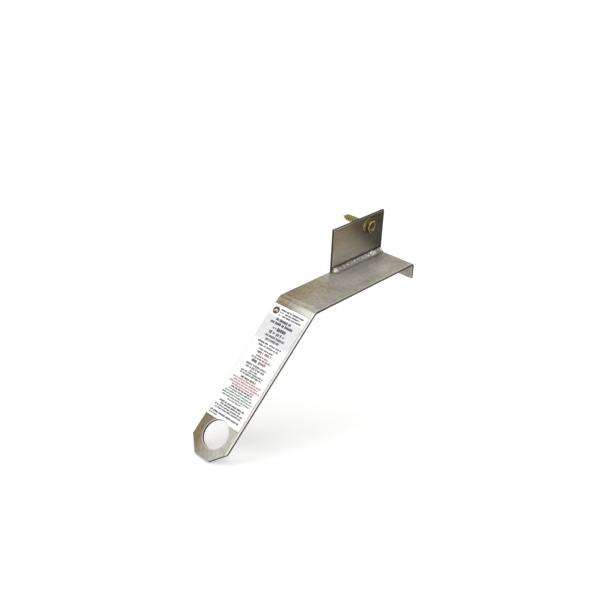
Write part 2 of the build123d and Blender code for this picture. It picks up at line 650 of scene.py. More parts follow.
@dataclass
class Skin:
    """The points and faces of one piece, with each point's place on the piece."""

    name: str
    points: list[Vector] = field(default_factory=list)
    places: list[Vector] = field(default_factory=list)
    faces: list[tuple[int, ...]] = field(default_factory=list)

    def add(self, point: Vector, place: Vector) -> int:
        """Adds a point and gives its number.

        Args:
            point: Where it is.
            place: Its place on the piece.

        Returns:
            Its number.
        """
        self.points.append(point)
        self.places.append(place)
        return len(self.points) - 1

    def loop(self, points: Iterable[tuple[Vector, Vector]]) -> list[int]:
        """Adds several points and gives their numbers."""
        return [self.add(point, place) for point, place in points]

    def band(self, first: list[int], second: list[int], closed: bool = True) -> None:
        """Joins two rows of equal length with quads.

        Args:
            first: One row.
            second: The other.
            closed: Whether the band goes round to its start.
        """
        count = len(first)
        for i in range(count if closed else count - 1):
            j = (i + 1) % count
            self.faces.append((first[i], first[j], second[j], second[i]))

    def bands(self, rows: list[list[int]], closed: bool = True) -> None:
        """Joins each row to the next."""
        for first, second in zip(rows, rows[1:]):
            self.band(first, second, closed)

    def fan(self, rim: list[int], tip: int) -> None:
        """Joins a closed row to one point."""
        for i, corner in enumerate(rim):
            self.faces.append((corner, rim[(i + 1) % len(rim)], tip))

    def build(self, material: bpy.types.Material, slot: str, body: str) -> bpy.types.Object:
        """Makes the piece.

        Args:
            material: Its finish.
            slot: The record's material slot; not used.
            body: The body that it rides on.

        Returns:
            The piece.
        """
        mesh = bpy.data.meshes.new(self.name)
        mesh.from_pydata([tuple(p) for p in self.points], [], self.faces)
        places = mesh.attributes.new(PLACE, "FLOAT_VECTOR", "POINT")
        places.data.foreach_set("vector", [c for place in self.places for c in place])
        work = bmesh.new()
        work.from_mesh(mesh)
        bmesh.ops.recalc_face_normals(work, faces=work.faces)
        for face in work.faces:
            face.smooth = True
        work.to_mesh(mesh)
        work.free()
        piece = bpy.data.objects.new(self.name, mesh)
        bpy.context.scene.collection.objects.link(piece)
        mesh.materials.append(material)
        even = piece.modifiers.new("even_faces", "WEIGHTED_NORMAL")
        even.mode = "FACE_AREA"
        even.weight = 60
        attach(piece, body)
        log.info("built %s: %d points, %d faces", self.name, len(self.points), len(self.faces))
        return piece


def ease(value: float) -> float:
    """Smooth rise from 0 to 1 as value goes from 0 to 1."""
    value = min(1.0, max(0.0, value))
    return value * value * (3.0 - 2.0 * value)


def spread(start: float, end: float, gap: float) -> list[float]:
    """Even steps from start to end, no wider than gap, with both ends."""
    count = max(1, math.ceil(abs(end - start) / gap))
    return [start + (end - start) * i / count for i in range(count + 1)]


def between(start: Station, end: Station, gap: float) -> list[Station]:
    """Divides a line into points.

    Args:
        start: The first point.
        end: The line's other end.
        gap: The widest gap that is left.

    Returns:
        The points, without the end.
    """
    first, last = Vector(start), Vector(end)
    steps = spread(0.0, 1.0, gap / (last - first).length)[:-1]
    return [tuple(first.lerp(last, step)) for step in steps]


def middle_of(node: str) -> Vector:
    """The middle of a node's box in Y and Z, on the plane where X is 0."""
    low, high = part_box(node)
    return Vector((0.0, (low.y + high.y) / 2, (low.z + high.z) / 2))


@dataclass(frozen=True)
class CutEdge:
    """A point of a sheet's outline, how far its edge is rounded, and the way inwards."""

    at: Vector
    radius: float
    inward: Vector = Vector((0.0, 0.0))

    @property
    def flat_start(self) -> Vector:
        """Where the flat face begins, inside the rounded edge."""
        return self.at + self.inward * self.radius


@dataclass
class Sheet:
    """Sheet metal: a flat outline and one round hole, with thickness and rounded edges.

    The outline is given on the flat blank. The lay function puts a blank point, at a
    depth below the face, where it is on the finished piece.
    """

    name: str
    thickness: float
    lay: Callable[[float, float, float], Vector]
    hole: Vector
    hole_radius: float
    hole_edge: float
    corner_steps: int = 4

    def __post_init__(self) -> None:
        """Starts an empty skin."""
        self.skin = Skin(self.name)

    def point(self, at: Vector, depth: float) -> int:
        """Adds the blank point at a depth."""
        return self.skin.add(self.lay(at.x, at.y, depth), Vector((at.x, at.y, depth)))

    @staticmethod
    def mitred(outline: list[tuple[Station, float]]) -> list[CutEdge]:
        """Works out the way inwards at each point of a left-turning outline.

        Args:
            outline: The points, each with its edge rounding.

        Returns:
            The edge points.
        """
        edges = []
        points = [Vector(at) for at, _ in outline]
        for i, at in enumerate(points):
            before = (at - points[i - 1]).normalized()
            after = (points[(i + 1) % len(points)] - at).normalized()
            first, second = Vector((-before.y, before.x)), Vector((-after.y, after.x))
            inward = (first + second) / (1.0 + first.dot(second))
            edges.append(CutEdge(at, outline[i][1], inward))
        return edges

    def wall(self, edges: list[CutEdge]) -> tuple[list[int], list[int]]:
        """Builds the rounded side wall.

        Args:
            edges: The outline, or the hole's rim.

        Returns:
            The wall's row on the face and its row on the back.
        """
        turns = [math.pi / 2 * i / self.corner_steps for i in range(self.corner_steps + 1)]
        rows = []
        for back, angles in ((False, turns), (True, turns[::-1])):
            for angle in angles:
                row = []
                for edge in edges:
                    sink = edge.radius * (1.0 - math.cos(angle))
                    depth = self.thickness - sink if back else sink
                    at = edge.at + edge.inward * edge.radius * (1.0 - math.sin(angle))
                    row.append(self.point(at, depth))
                rows.append(row)
        self.skin.bands(rows)
        return rows[0], rows[-1]

    def faces_round_hole(
        self, outer: list[tuple[Vector, int, int]], shares: Sequence[float]
    ) -> None:
        """Fills the face and the back between the hole and a loop of points round it.

        Args:
            outer: The loop's points, with their numbers on the face and on the back.
            shares: Where the rings between lie, from 0 at the hole to 1 at the loop.
        """
        rim = []
        for at, _, _ in outer:
            outward = (at - self.hole).normalized()
            rim.append(CutEdge(self.hole + outward * self.hole_radius, self.hole_edge, outward))
        for side, (row, depth) in enumerate(zip(self.wall(rim), (0.0, self.thickness))):
            rows = [row]
            for share in shares:
                rows.append([
                    self.point(edge.flat_start.lerp(ends[0], share), depth)
                    for edge, ends in zip(rim, outer)
                ])
            self.skin.bands([*rows, [ends[1 + side] for ends in outer]])


@dataclass(frozen=True)
class Ring:
    """One ring of a turned piece: its place along X, its radius and the light level painted on it.

    Inside a hexagon of that width across the flats, the ring follows its sides. The
    hexagon's corners are a little rounded.
    """

    x: float
    radius: float
    light_level: float
    hexagon: float = 0.0
    corner_rounding: float = 0.18 * MM

    def radius_at(self, angle: float) -> float:
        """Works out the radius.

        Args:
            angle: The angle about the axis.

        Returns:
            The radius there.
        """
        if not self.hexagon:
            return self.radius
        flat = self.hexagon / 2
        turn = angle % (math.pi / 3) - math.pi / 6
        corner = flat / math.cos(math.pi / 6) - self.corner_rounding
        return min(min(flat / math.cos(turn), corner), self.radius)


@dataclass
class Turned:
    """A piece made of rings about an axis along X."""

    skin: Skin
    axis: Vector
    sides: int

    def point(self, x: float, radius: float, angle: float, light_level: float) -> int:
        """Adds a point.

        Args:
            x: Its place along the axis.
            radius: Its distance from the axis.
            angle: Its angle about the axis.
            light_level: The light level painted on it, from 0 for painted shade to 1 for a painted
                highlight.

        Returns:
            Its number.
        """
        y, z = radius * math.cos(angle), radius * math.sin(angle)
        return self.skin.add(self.axis + Vector((x, y, z)), Vector((y, z + x, light_level * MM)))

    def tip(self, x: float, light_level: float) -> int:
        """Adds a point on the axis."""
        return self.skin.add(self.axis + Vector((x, 0.0, 0.0)), Vector((0.0, 0.0, light_level * MM)))

    def rings(self, profile: Iterable[Ring]) -> list[list[int]]:
        """Adds rings and joins each to the next.

        Args:
            profile: The rings in order.

        Returns:
            Their point numbers.
        """
        angles = [2.0 * math.pi * k / self.sides for k in range(self.sides)]
        rows = [
            [self.point(ring.x, ring.radius_at(a), a, ring.light_level) for a in angles]
            for ring in profile
        ]
        self.skin.bands(rows)
        return rows


def rounded(low: Station, high: Station, radius: float, steps: int) -> list[Station]:
    """Draws a rectangle with rounded corners.

    Args:
        low: Its lower corner.
        high: Its upper corner.
        radius: The rounding.
        steps: Steps in each quarter turn.

    Returns:
        The points, turning left, from the corner at the high first and low second side.
    """
    (x0, s0), (x1, s1) = low, high
    centres = (
        (x1 - radius, s0 + radius),
        (x1 - radius, s1 - radius),
        (x0 + radius, s1 - radius),
        (x0 + radius, s0 + radius),
    )
    points = []
    for quarter, (x, s) in enumerate(centres):
        for step in range(steps + 1):
            turn = math.radians(90.0 * (quarter - 1) + 90.0 * step / steps)
            points.append((x + radius * math.cos(turn), s + radius * math.sin(turn)))
    return points


# ---------------------------------------------------------------- the bent strap


@dataclass
class BendLine:
    """The middle line of the bar: leg, bend, base, bend, lip, from the leg's end."""

    front: float
    back: float
    thickness: float
    slope: float
    leg_length: float
    lip_drop: float
    front_radius: float
    back_radius: float

    def __post_init__(self) -> None:
        """Works out the lengths of the straights and the bends."""
        self.half = self.thickness / 2
        self.front_middle = self.front_radius + self.half
        self.back_middle = self.back_radius + self.half
        shift = (self.half + self.front_middle) * math.tan(self.slope / 2)
        self.leg_straight = self.leg_length - shift
        self.front_arc = self.front_middle * self.slope
        self.base_start = self.front + shift
        self.front_end = self.leg_straight + self.front_arc
        self.base_end = self.front_end + self.back - self.half - self.back_middle - self.base_start
        self.back_end = self.base_end + self.back_middle * math.pi / 2
        self.length = self.back_end + self.lip_drop - self.half - self.back_middle

    def at(self, along: float) -> tuple[float, float, float]:
        """Finds a point of the middle line.

        Args:
            along: The length from the leg's end.

        Returns:
            Its y and z, and its heading above the level.
        """
        half = self.half
        if along >= self.back_end:
            z = half - self.back_middle - (along - self.back_end)
            return self.back - half, z, -math.pi / 2
        if along >= self.base_end:
            turn = (along - self.base_end) / self.back_middle
            y = self.back - half - self.back_middle * (1.0 - math.sin(turn))
            return y, half - self.back_middle * (1.0 - math.cos(turn)), -turn
        if along >= self.front_end:
            return self.base_start + along - self.front_end, half, 0.0
        on_leg = along < self.leg_straight
        turn = self.slope if on_leg else (self.front_end - along) / self.front_middle
        y = self.base_start - self.front_middle * math.sin(turn)
        z = half - self.front_middle * (1.0 - math.cos(turn))
        run = max(0.0, self.leg_straight - along)
        return y - run * math.cos(turn), z - run * math.sin(turn), turn

    def lay(self, across: float, along: float, depth: float) -> Vector:
        """Puts a point of the flat bar on the bent bar.

        Args:
            across: Its place across the bar.
            along: Its place along the bar, from the leg's end.
            depth: Its depth below the face.

        Returns:
            The point.
        """
        y, z, heading = self.at(along)
        out = self.half - depth
        return Vector((across, y - out * math.sin(heading), z + out * math.cos(heading)))


@dataclass
class Strap:
    """The flat bar: a lip behind, a level base and a sloping leg with an eye."""

    slope_degrees: float = 43.0
    front_radius: float = 3.2 * MM
    back_radius: float = 1.6 * MM
    lip_drop: float = 19.0 * MM
    corner_cut: float = 15.3 * MM
    eye_radius: float = 15.2 * MM
    eye_edge: float = 26.4 * MM
    rolled_edge: float = 0.8 * MM
    sheared_edge: float = 0.35 * MM
    punched_edge: float = 0.55 * MM
    press_mark_depth: float = 0.06 * MM
    press_mark_half_width: float = 1.1 * MM
    press_mark_reach: float = 6.2 * MM
    edge_gap: float = 1.6 * MM
    leg_gap: float = 5.0 * MM
    front_bend_gap: float = 0.4 * MM
    base_gap: float = 6.0 * MM
    back_bend_gap: float = 0.45 * MM
    lip_gap: float = 4.0 * MM
    columns: int = 14
    ring_shares: tuple[float, ...] = (0.12, 0.35, 0.65, 0.9)

    def __post_init__(self) -> None:
        """Takes the outer sizes from the frame."""
        low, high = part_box("strap")
        self.half_width = high.x
        self.thickness = high.z
        self.front = -high.y
        slope = math.radians(self.slope_degrees)
        self.leg_length = (self.front - low.y) / math.cos(slope)
        self.line = BendLine(
            self.front, high.y, self.thickness, slope, self.leg_length,
            self.lip_drop, self.front_radius, self.back_radius,
        )
        self.bend_middle = self.line.leg_straight + self.line.front_arc / 2
        self.eye = Vector((0.0, self.eye_edge))
        self.grid_start = 2.0 * self.eye_edge
        self.rows = self.stations()
        inner = self.half_width - self.rolled_edge
        self.lanes = [-inner + 2.0 * inner * j / self.columns for j in range(self.columns + 1)]

    def press_mark(self, along: float) -> float:
        """Depth of the faint groove that the die left on each side of the front bend."""
        away = abs(abs(along - self.bend_middle) - self.press_mark_reach)
        return self.press_mark_depth * ease(1.0 - away / self.press_mark_half_width)

    def lay(self, across: float, along: float, depth: float) -> Vector:
        """Puts a blank point on the bent strap, with the die's marks on its face."""
        sink = self.press_mark(along) * (1.0 - depth / self.thickness)
        return self.line.lay(across, along, depth + sink)

    def stations(self) -> list[float]:
        """Places the rows along the bar, close together where it bends.

        Returns:
            The rows' places, from where the grid starts.
        """
        line = self.line
        marks = [
            self.bend_middle + side * self.press_mark_reach + step * self.press_mark_half_width
            for side in (-1, 1)
            for step in (-1.0, -0.5, 0.0, 0.5, 1.0)
        ]
        rows = spread(self.grid_start, marks[0], self.leg_gap)[:-1] + marks[:5]
        rows += spread(line.leg_straight, line.front_end, self.front_bend_gap) + marks[5:]
        rows += spread(marks[-1] + 1.0 * MM, line.base_end, self.base_gap)
        rows += spread(line.base_end, line.back_end, self.back_bend_gap)[1:]
        return rows + spread(line.back_end, line.length, self.lip_gap)[1:]

    def build(self) -> bpy.types.Object:
        """Makes the strap: the eye's end as rings, and the rest as a grid.

        Returns:
            The piece.
        """
        sheet = Sheet("bent_bar", self.thickness, self.lay, self.eye, self.eye_radius,
                      self.punched_edge)
        end, outline = self.outline()
        edges = sheet.mitred(outline)
        rows = sheet.wall(edges)
        grids = [
            self._grid(sheet, row, end, depth) for row, depth in zip(rows, (0.0, self.thickness))
        ]
        first = len(self.rows) - 1
        outer = [
            (edges[i].flat_start, rows[0][i], rows[1][i]) for i in range(first, end + 1)
        ]
        for j in range(self.columns - 1, 0, -1):
            middle = Vector((self.lanes[j], self.grid_start))
            outer.append((middle, grids[0][j], grids[1][j]))
        sheet.faces_round_hole(outer, self.ring_shares)

        piece = sheet.skin.build(self.finish().material(), "bar_steel", "bracket")
        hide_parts("strap")
        return piece

    def outline(self) -> tuple[int, list[tuple[Station, float]]]:
        """Draws the blank from the lip down the left side, round the eye's end and back.

        Returns:
            Where the right side's rows start in the outline, and its points with the
            rounding of their edges.
        """
        half, cut, gap = self.half_width, self.corner_cut, self.edge_gap
        down = [*self.rows[::-1], *spread(self.grid_start, cut, gap)[1:-1]]
        left = [(-half, y) for y in down]
        nose = between((-half, cut), (-half + cut, 0.0), gap)
        nose += between((-half + cut, 0.0), (half - cut, 0.0), gap)
        nose += between((half - cut, 0.0), (half, cut), gap)
        up = spread(cut, self.grid_start, gap)[:-1]
        right = [(half, y) for y in [*up, *self.rows]]
        top = [(x, self.rows[-1]) for x in self.lanes[::-1][1:-1]]
        outline = []
        for points, radius in ((left, self.rolled_edge), (nose, self.sheared_edge),
                               (right, self.rolled_edge), (top, self.sheared_edge)):
            outline += [(point, radius) for point in points]
        return len(left) + len(nose) + len(up), outline

    def _grid(self, sheet: Sheet, wall: list[int], end: int, depth: float) -> list[int]:
        """Fills the face or the back beyond the eye's end.

        Args:
            sheet: The strap's sheet.
            wall: The side wall's row at this face.
            end: Where the right side's rows start in it.
            depth: The face's depth.

        Returns:
            The grid's first row.
        """
        last = len(self.rows) - 1
        grid = []
        for i, y in enumerate(self.rows[:-1]):
            middle = [sheet.point(Vector((x, y)), depth) for x in self.lanes[1:-1]]
            grid.append([wall[last - i], *middle, wall[end + i]])
        top_right = end + last
        grid.append([wall[0], *wall[:top_right:-1], wall[top_right]])
        sheet.skin.bands(grid, closed=False)
        return grid[0]

    def finish(self) -> BarSteel:
        """Gives the bar its finish, with streaks, eye and heat tint in their places.

        Returns:
            The finish.
        """
        fold = self.leg_length / MM
        low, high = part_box("weld_bead")
        base_zero = (self.line.front_end - self.line.base_start) / MM
        return BarSteel(
            "bar_steel",
            self.half_width / MM,
            self.thickness / MM,
            fold,
            streaks=(Streak(2.4, 1.1, 0.50), Streak(0.6, 0.9, -0.06), Streak(-8.6, 1.6, -0.22)),
            pressed=(-9.0, 2.0),
            hole=(self.eye.x / MM, self.eye.y / MM, self.eye_radius / MM),
            weld_across=high.x / MM,
            weld_along=(base_zero + low.y / MM, base_zero + high.y / MM),
            # Painted light: the left of the leg and the base's front left are darker and browner as a
            # painted reflection of timber, the left of the leg's end is darker, the base's back and
            # the bend's upper right are painted shade, and the base's middle left and the bend's
            # right get painted highlights.
            painted_light=(
                PaintedLight((0.60, 0.56, 0.485), 1.0, (10.0, -23.0), ((2.0, -9.0),)),
                PaintedLight((0.97, 0.94, 0.84), 1.0, (22.0, 2.0), ((-2.0, 3.0), (70.0, 35.0))),
                PaintedLight((0.90, 0.89, 0.87), 1.0, (14.0, 5.0), ((14.0 - fold, 4.0 - fold),)),
                PaintedLight((0.78, 0.71, 0.58), 1.0, (8.0, -20.0), ((95.0, 8.0),)),
                PaintedLight((0.84, 0.83, 0.80), 1.0, None, ((118.0, 152.0),)),
                PaintedLight((0.86, 0.85, 0.83), 1.0, (-24.0, -8.0), ((-12.0, -8.0), (3.0, -1.0))),
                PaintedLight((0.86, 0.85, 0.83), 0.26, (24.0, 6.0), ((50.0, 75.0), (150.0, 125.0)),
                      blend="MIX"),
                PaintedLight((0.89, 0.91, 0.91), 0.46, (-6.0, 22.0), ((-14.0, -9.5), (2.5, -3.0)),
                      blend="MIX"),
                PaintedLight((0.80, 0.775, 0.70), 0.42, (-14.0, 8.0), ((-1.5, 1.0), (5.5, 3.5)),
                      blend="MIX"),
            ),
            # The rim's painted highlight stops at the fold; the base's sides take a painted
            # reflection of timber, and the left edge painted shade.
            rim_end=fold,
            flank_reflection=(0.185, 0.14, 0.082),
            left_shade=0.80,
        )


# ---------------------------------------------------------------- upright plate and weld


@dataclass
class UprightPlate:
    """The plate that stands on the base's left edge, with the screw's hole."""

    sheared_edge: float = 0.3 * MM
    rolled_edge: float = 0.8 * MM
    hole_radius: float = 4.35 * MM
    edge_gap: float = 2.0 * MM
    ring_shares: tuple[float, ...] = (0.05, 0.2, 0.45, 0.72, 0.93)

    def __post_init__(self) -> None:
        """Takes the outer sizes from the frame."""
        self.low, self.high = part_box("upright_plate")
        self.middle_height = middle_of("upright_plate").z
        screw = middle_of("screw")
        self.hole = Vector((screw.z - self.middle_height, -screw.y))
        self.thickness = self.high.x - self.low.x
        self.half_height = (self.high.z - self.low.z) / 2

    def lay(self, across: float, along: float, depth: float) -> Vector:
        """Stands a blank point up: across is up from the middle, along is -Y."""
        return Vector((self.high.x - depth, -along, self.middle_height + across))

    def build(self) -> bpy.types.Object:
        """Makes the plate as rings round the hole.

        Returns:
            The piece.
        """
        sheet = Sheet("standing_plate", self.thickness, self.lay, self.hole,
                      self.hole_radius, self.sheared_edge)
        half, front, back = self.half_height, -self.low.y, -self.high.y
        corners = [(half, back), (half, front), (-half, front), (-half, back)]
        outline = []
        for i, start in enumerate(corners):
            radius = self.sheared_edge if i else self.rolled_edge
            points = between(start, corners[(i + 1) % 4], self.edge_gap)
            outline += [(point, radius) for point in points]
        edges = sheet.mitred(outline)
        outer = list(zip([edge.flat_start for edge in edges], *sheet.wall(edges)))
        sheet.faces_round_hole(outer, self.ring_shares)
        piece = sheet.skin.build(self.finish().material(), "bar_steel", "bracket")
        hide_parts("upright_plate")
        return piece

    def finish(self) -> BarSteel:
        """Gives the plate its finish, with heat tint above the weld.

        Returns:
            The finish.
        """
        low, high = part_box("weld_bead")
        return BarSteel(
            "plate_steel",
            self.half_height / MM,
            self.thickness / MM,
            hole=(self.hole.x / MM, self.hole.y / MM, self.hole_radius / MM),
            weld_across=(high.z - self.middle_height) / MM,
            weld_along=(-high.y / MM, -low.y / MM),
            # Painted light: shade along the weld's toe, a faint highlight on the top edge, shade
            # towards the back and top, and a painted reflection of timber on the upper part.
            weld_toe_shade=0.80,
            rim_highlight=0.10,
            mottle=0.14,
            painted_light=(
                PaintedLight((0.50, 0.475, 0.43), 1.0, (30.0, 64.0), lean=-1.0),
                PaintedLight((0.93, 0.86, 0.72), 0.9, (-12.0, 22.0)),
            ),
            dark=(0.345, 0.317, 0.262),
            light=(0.655, 0.622, 0.545),
        )


@dataclass(frozen=True)
class Wave:
    """An even noise over the bead: its length along it, its pace across it, its layer."""

    length: float
    pace: float
    layer: float

    def at(self, y: float, turn: float) -> float:
        """The noise at a place along and a turn across, either side of 0."""
        return noise.noise(Vector((y / self.length, self.pace * turn, self.layer)))


@dataclass
class WeldBead:
    """The fillet weld along the plate's right foot: ripples, swollen ends, spatter.

    Each blob is where the arc started, restarted or stopped: its middle and its reach,
    as shares of the bead's length.
    """

    leg_share: float = 0.80
    blob_share: float = 0.98
    least_share: float = 0.12
    limit: float = 1.04
    crown: float = 0.50 * MM
    lean: float = 0.7
    ripple_pitch: float = 3.4 * MM
    ripple_height: float = 0.55 * MM
    ripple_middle: float = 0.6
    ripple_curl: float = 1.6 * MM
    ripple_rise: float = 0.65
    jitter: float = 2.0
    jitter_wave: Wave = Wave(4.0 * MM, 1.5, 3.0)
    lump_height: float = 0.55 * MM
    lump_wave: Wave = Wave(3.4 * MM, 5.0, 8.0)
    bubble_share: float = 0.8
    bubble_wave: Wave = Wave(1.3 * MM, 7.0, 2.0)
    wander: float = 0.07
    wander_wave: Wave = Wave(5.0 * MM, 9.0, 1.0)
    end_round: float = 3.2 * MM
    end_inset: float = 0.12 * MM
    step: float = 0.30 * MM
    around: int = 14
    drops: int = 26
    drops_on_base: float = 0.6
    drop_ends: Station = (2.0 * MM, 4.0 * MM)
    drop_gap: float = 1.0 * MM
    drop_reach: float = 9.0 * MM
    drop_radius: Station = (0.18 * MM, 0.55 * MM)
    drop_rise: Station = (0.45, 0.8)
    drop_steps: int = 5
    drop_sides: int = 12
    seed: int = 11
    blobs: tuple[Station, ...] = ((0.04, 0.075), (0.79, 0.08), (0.97, 0.04))

    def __post_init__(self) -> None:
        """Takes the outer sizes from the frame."""
        self.low, self.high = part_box("weld_bead")
        self.size = self.high - self.low

    def share(self, y: float) -> float:
        """Works out the section's size.

        Args:
            y: The place along the bead.

        Returns:
            The size there, as a share of the full one.
        """
        from_end = min(y - self.low.y, self.high.y - y)
        closing = math.sqrt(max(0.0, 1.0 - (1.0 - min(1.0, from_end / self.end_round)) ** 2))
        full = self.leg_share + (self.blob_share - self.leg_share) * self.blob(y)
        return max(self.least_share, full * closing)

    def blob(self, y: float) -> float:
        """How far the bead is swollen at y, from 0 to 1."""
        at = (y - self.low.y) / self.size.y
        return max(ease(1.0 - abs(at - middle) / reach) for middle, reach in self.blobs)

    def ripple(self, y: float, turn: float) -> float:
        """Draws the ripples.

        Args:
            y: The place along the bead.
            turn: The place across it, from 0 at the plate to 1 at the base.

        Returns:
            Their height there, from 0 to 1.
        """
        curl = self.ripple_curl * (turn - 0.5) ** 2 * 4.0
        phase = (y + curl) / self.ripple_pitch + self.jitter * self.jitter_wave.at(y, turn)
        saw, rise = phase % 1.0, self.ripple_rise
        return ease(saw / rise) if saw < rise else ease((1.0 - saw) / (1.0 - rise))

    def _face_point(self, y: float, turn: float) -> tuple[Vector, Vector]:
        """Finds a point of the bead's face.

        Args:
            y: The place along the bead.
            turn: The place across it, from 0 at the plate to 1 at the base.

        Returns:
            The point, and its place with its painted brightness.
        """
        blob, share = self.blob(y), self.share(y)
        middle = math.sin(math.pi * turn)
        ripple = self.ripple(y, turn)
        lump = self.lump_wave.at(y, turn)
        lump += self.bubble_share * blob * self.bubble_wave.at(y, turn)
        wander = 1.0 + self.wander * self.wander_wave.at(y, float(turn > 0.5))
        relief = self.ripple_height * (ripple - self.ripple_middle) + self.lump_height * lump
        out = middle * (self.crown + (0.75 + 0.40 * blob) * relief) * self.lean
        x = min(self.size.x * share * turn * wander + out * share, self.size.x * self.limit)
        z = min(self.size.z * share * (1.0 - turn) * wander + out * share, self.size.z * self.limit)
        # Painted brightness: higher on ripples, on the bead's middle and blobs, and towards the
        # plate.
        bright = 0.45 * ripple + (0.30 + 0.30 * blob) * middle + 0.16 * (0.5 - turn)
        place = Vector((turn * self.size.x, y, bright * MM))
        return self.low + Vector((x, y - self.low.y, z)), place

    def build(self) -> bpy.types.Object:
        """Makes the bead.

        Returns:
            The piece.
        """
        skin = Skin("fillet_weld")
        rows = []
        for y in spread(self.low.y + self.end_inset, self.high.y - self.end_inset, self.step):
            root = skin.add(Vector((self.low.x, y, self.low.z)), Vector((0.0, y, 0.0)))
            face = (self._face_point(y, k / self.around) for k in range(self.around + 1))
            rows.append([root, *skin.loop(face)])
        skin.bands(rows)
        skin.faces += [tuple(rows[0]), tuple(reversed(rows[-1]))]
        wide = self.size.x / MM
        finish = WeldSteel("weld_steel", (0.55 * wide, 0.95 * wide))
        piece = skin.build(finish.material(), "weld_steel", "bracket")
        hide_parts("weld_bead")
        return piece

    def build_spatter(self) -> bpy.types.Object:
        """Makes the small drops of weld metal beside the bead, on the base and the plate.

        Returns:
            The piece.
        """
        dice = random.Random(self.seed)
        skin = Skin("weld_spatter")
        x_way, y_way, z_way = Matrix.Identity(3)
        for _ in range(self.drops):
            radius = dice.uniform(*self.drop_radius)
            y = dice.uniform(self.low.y + self.drop_ends[0], self.high.y - self.drop_ends[1])
            away = self.drop_gap + self.drop_reach * dice.random() ** 2
            if dice.random() < self.drops_on_base:
                foot, axes = Vector((self.high.x + away, y, self.low.z)), (x_way, y_way, z_way)
            else:
                foot, axes = Vector((self.low.x, y, self.high.z + away)), (y_way, z_way, x_way)
            self._drop(skin, foot, axes, radius, dice.uniform(*self.drop_rise))
        return skin.build(WeldSteel("spatter_steel").material(), "weld_steel", "bracket")

    def _drop(
        self, skin: Skin, foot: Vector, axes: tuple[Vector, ...], radius: float, rise: float
    ) -> None:
        """Adds one drop.

        Args:
            skin: Where it goes.
            foot: The middle of its foot.
            axes: Two directions along the surface and one out of it.
            radius: Its radius.
            rise: Its height as a share of the radius.
        """
        first, second, out = axes
        rows = []
        for step in range(self.drop_steps):
            angle = math.pi / 2 * step / self.drop_steps
            row = []
            for k in range(self.drop_sides):
                turn = 2.0 * math.pi * k / self.drop_sides
                flat = first * math.cos(turn) + second * math.sin(turn)
                reach = radius * math.cos(angle)
                point = foot + flat * reach + out * radius * rise * math.sin(angle)
                # Painted brightness: the drop's side is mid, its tip a painted highlight.
                row.append(skin.add(point, Vector((point.x, point.y, 0.6 * MM))))
            rows.append(row)
        skin.bands(rows)
        tip = foot + out * radius * rise
        skin.fan(rows[-1], skin.add(tip, Vector((tip.x, tip.y, 1.0 * MM))))
        skin.faces.append(tuple(reversed(rows[0])))


# ---------------------------------------------------------------- screw and washer


